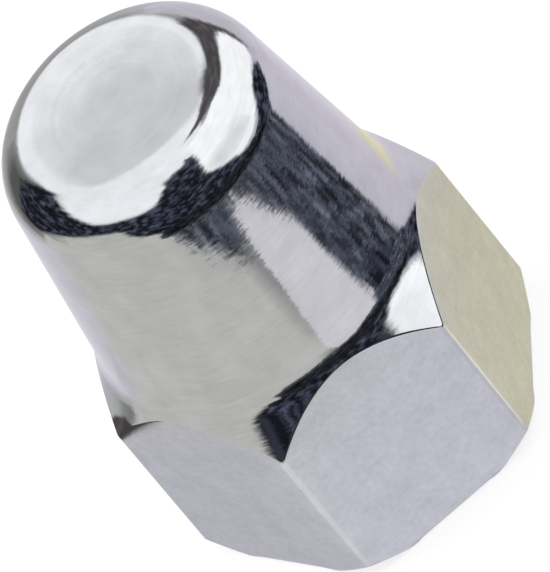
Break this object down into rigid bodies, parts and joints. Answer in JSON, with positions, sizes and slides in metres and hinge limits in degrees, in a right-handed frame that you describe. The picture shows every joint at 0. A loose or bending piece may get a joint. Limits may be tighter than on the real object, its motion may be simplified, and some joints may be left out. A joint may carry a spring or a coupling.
{
  "type": "cap nut",
  "caption": "Chromed closed-end cap nut: hexagon foot with scalloped crown, tapered flat-ended cap and a blind threaded hole.",
  "frame": {"origin": "centre of the open end's flat bearing face, on the nut's axis", "axes": "+Z along the nut's axis, from the bearing face up to the flat end of the cap; one flat of the hexagon faces -Y, and two corners lie on X"},
  "size_m": [0.0218, 0.019, 0.0293],
  "materials": {
    "chrome_plate": "bright decorative chrome over polished steel, with faint polishing lines round the cap"
  },
  "bodies": {
    "root": {"cap_nut": "chrome_plate"}
  },
  "joints": []
}
